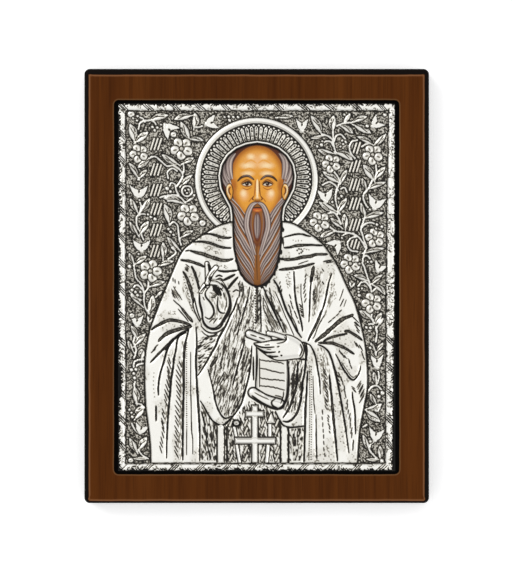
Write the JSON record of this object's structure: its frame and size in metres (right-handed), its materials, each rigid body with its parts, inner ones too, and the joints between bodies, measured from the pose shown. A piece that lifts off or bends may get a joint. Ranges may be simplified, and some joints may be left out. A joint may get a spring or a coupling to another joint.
{
  "type": "icon panel",
  "caption": "Rectangular wooden board with a rounded dark edge, and in its recess a painted panel under an embossed silver cover with a head-shaped opening",
  "frame": {"origin": "middle of the board's back face, which the panel lies on", "axes": "+X to the picture's right, +Y to the picture's top, +Z out of the front"},
  "size_m": [0.2, 0.252, 0.0204],
  "materials": {
    "wood": "dark brown stain with upright grain, satin varnish, near-black rounded edge",
    "silver": "silver worked in relief, blackened in its low places and polished on its high ones",
    "paint": "thin painted panel, satin"
  },
  "bodies": {
    "root": {"wooden_board": "wood", "painted_panel": "paint", "silver_cover": "silver"}
  },
  "joints": []
}
